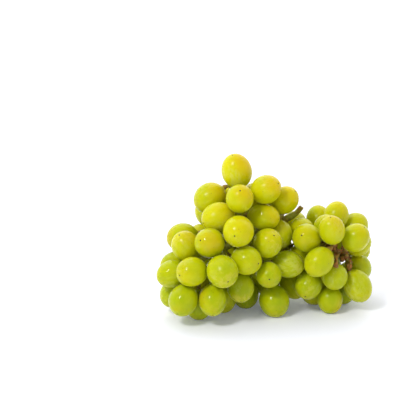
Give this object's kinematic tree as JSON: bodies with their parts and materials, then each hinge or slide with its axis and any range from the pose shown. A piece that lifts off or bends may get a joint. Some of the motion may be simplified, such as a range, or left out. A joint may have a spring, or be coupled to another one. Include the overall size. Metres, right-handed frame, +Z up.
{
  "type": "bunch of grapes",
  "caption": "Bunch of green table grapes as picked, lying on a surface, with its stems and a short cut stub of the main stem.",
  "frame": {"origin": "middle of the bunch's footprint, on the surface it lies on", "axes": "+X along the bunch from the tall shoulder to the wing, +Y from its front to its back, +Z up"},
  "size_m": [0.1412, 0.1, 0.1013],
  "materials": {
    "grape_skin": "yellow-green translucent skin, satin gloss with a thin waxy bloom",
    "shaded_grape_skin": "yellow-green translucent skin, satin gloss with a thin waxy bloom",
    "stem_bark": "dull green stem turning brown, with corky knobs and a dry cut end"
  },
  "bodies": {
    "root": {"grape_01": "grape_skin", "grape_02": "grape_skin", "grape_03": "grape_skin", "grape_04": "grape_skin", "grape_05": "grape_skin", "grape_06": "grape_skin", "grape_07": "grape_skin", "grape_08": "grape_skin", "grape_09": "grape_skin", "grape_10": "grape_skin", "grape_11": "grape_skin", "grape_12": "grape_skin", "grape_13": "grape_skin", "grape_14": "grape_skin", "grape_15": "grape_skin", "grape_16": "grape_skin", "grape_17": "grape_skin", "grape_18": "grape_skin", "grape_19": "grape_skin", "grape_20": "grape_skin", "grape_21": "grape_skin", "grape_22": "grape_skin", "grape_23": "grape_skin", "grape_24": "grape_skin", "grape_25": "grape_skin", "grape_26": "grape_skin", "grape_27": "grape_skin", "grape_28": "grape_skin", "grape_29": "grape_skin", "grape_30": "grape_skin", "grape_31": "grape_skin", "grape_32": "grape_skin", "grape_33": "grape_skin", "grape_34": "grape_skin", "grape_35": "grape_skin", "grape_36": "grape_skin", "grape_37": "grape_skin", "grape_38": "grape_skin", "grape_39": "grape_skin", "grape_40": "grape_skin", "grape_41": "grape_skin", "grape_42": "grape_skin", "grape_43": "grape_skin", "grape_44": "grape_skin", "grape_45": "grape_skin", "grape_46": "grape_skin", "grape_47": "grape_skin", "grape_clump_01": "shaded_grape_skin", "grape_clump_02": "shaded_grape_skin", "grape_clump_03": "shaded_grape_skin", "grape_clump_04": "shaded_grape_skin", "grape_clump_05": "shaded_grape_skin", "grape_clump_06": "shaded_grape_skin", "grape_clump_07": "shaded_grape_skin", "grape_clump_08": "shaded_grape_skin", "grape_clump_09": "shaded_grape_skin", "grape_clump_10": "shaded_grape_skin", "grape_clump_11": "shaded_grape_skin", "stem": "stem_bark"}
  },
  "joints": []
}
